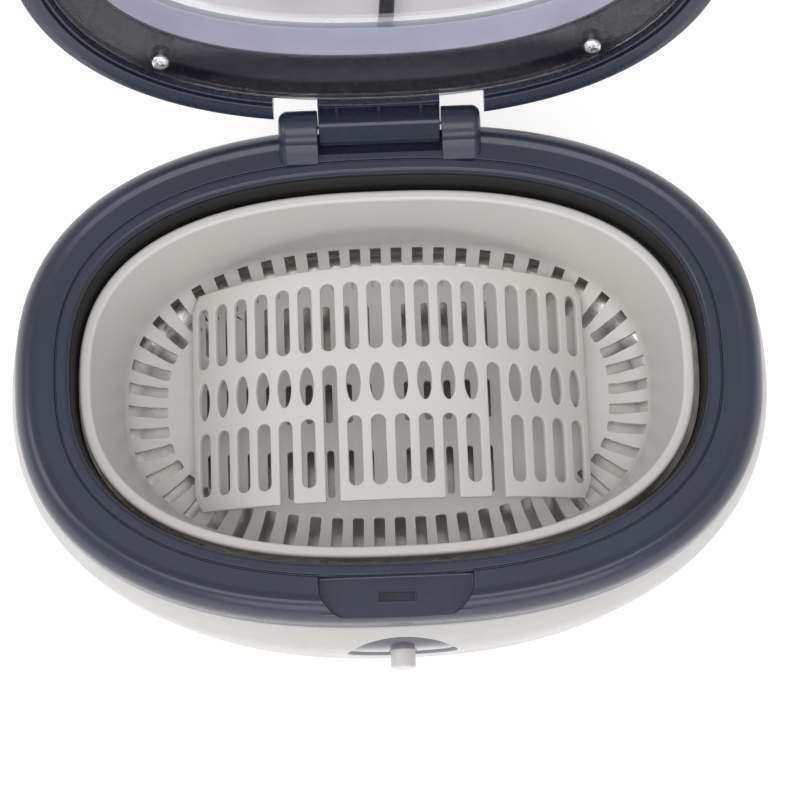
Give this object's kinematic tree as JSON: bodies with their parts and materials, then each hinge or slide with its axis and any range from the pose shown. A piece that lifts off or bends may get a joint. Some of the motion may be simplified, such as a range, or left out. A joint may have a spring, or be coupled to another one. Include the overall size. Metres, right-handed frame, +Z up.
{
  "type": "ultrasonic cleaner",
  "caption": "Oval bench-top ultrasonic cleaner: white housing, slate trim ring, hinged lid with clear window, steel tank, slotted basket and arched rack, front push button, mains cord.",
  "frame": {"origin": "on the surface it stands on, under the middle of the bounding box of the object with its lid open and without the mains cord", "axes": "+Z up, front with the push button towards -Y, lid hinge and mains cord towards +Y, +X to the right seen from the front"},
  "size_m": [0.2158, 0.3331, 0.2301],
  "materials": {
    "white_housing": "satin moulded plastic, warm white",
    "slate_trim": "satin slate-blue moulded plastic",
    "basket_grey": "semi-matt light warm grey plastic",
    "tank_steel": "deep-drawn bright stainless steel",
    "clear_cover": "clear acrylic, slightly smoky",
    "panel_gloss": "high-gloss dark blue",
    "button_grey": "satin light grey",
    "lens_blue": "translucent indicator",
    "base_grey": "matt moulded plastic",
    "rubber_black": "matt rubber",
    "screw_steel": "bright nickel-plated steel",
    "pin_steel": "ground steel",
    "aluminium": "turned aluminium",
    "ceramic": "fired piezo ceramic",
    "copper": "thin copper alloy sheet",
    "board_green": "green solder mask",
    "component_black": "moulded component body",
    "component_blue": "sleeved component",
    "component_amber": "dipped film capacitor",
    "fuse_glass": "glass tube with end caps",
    "cord_black": "black PVC"
  },
  "bodies": {
    "housing": {"body_shell": "white_housing", "top_ring": "slate_trim", "tank": "tank_steel", "control_panel": "panel_gloss", "indicator_lens": "lens_blue", "button_spring": "pin_steel", "tact_switch": "component_black", "switch_board": "board_green", "bottom_cover": "base_grey", "tank_gasket": "rubber_black", "transducer_horn": "aluminium", "piezo_ring_upper": "ceramic", "piezo_ring_lower": "ceramic", "electrode_plate": "copper", "transducer_backmass": "pin_steel", "transducer_bolt": "pin_steel", "circuit_board": "board_green", "output_transformer": "component_black", "filter_capacitor": "component_blue", "film_capacitor": "component_amber", "heat_sink": "aluminium", "power_transistor": "component_black", "fuse": "fuse_glass", "timer_relay": "component_blue", "hinge_pin_left": "pin_steel", "hinge_pin_right": "pin_steel", "strain_relief": "cord_black", "cord_clamp": "base_grey", "mains_cord": "cord_black", "cord_coil": "cord_black", "plug_lead": "cord_black", "plug_body": "cord_black", "plug_pin_left": "screw_steel", "plug_pin_right": "screw_steel", "cord_tie": "cord_black", "board_screw_rear": "screw_steel", "board_screw_front": "screw_steel", "foot_rear_right": "rubber_black", "base_screw_rear_right": "screw_steel", "foot_rear_left": "rubber_black", "base_screw_rear_left": "screw_steel", "foot_front_left": "rubber_black", "base_screw_front_left": "screw_steel", "foot_front_right": "rubber_black", "base_screw_front_right": "screw_steel"},
    "lid": {"lid_frame": "slate_trim", "lid_window": "clear_cover", "lid_screw_rear_right": "screw_steel", "lid_screw_rear_left": "screw_steel", "lid_screw_front_left": "screw_steel", "lid_screw_front_right": "screw_steel"},
    "basket": {"basket": "basket_grey"},
    "insert": {"basket_insert": "basket_grey"},
    "button": {"power_button": "button_grey"}
  },
  "joints": [
    {"name": "lid_hinge", "type": "hinge", "parent": "housing", "child": "lid", "pos_m": [0, 0.03693, 0.111], "axis": [1, 0, 0], "range_deg": [0, 118.8]},
    {"name": "basket_lift", "type": "slide", "parent": "housing", "child": "basket", "axis": [0, 0, 1], "range_m": [0, 0.13]},
    {"name": "insert_lift", "type": "slide", "parent": "basket", "child": "insert", "axis": [0, 0, 1], "range_m": [0, 0.1]},
    {"name": "button_press", "type": "slide", "parent": "housing", "child": "button", "axis": [0, 1, 0], "range_m": [0, 0.0012], "stiffness_N_per_m": 1500}
  ]
}
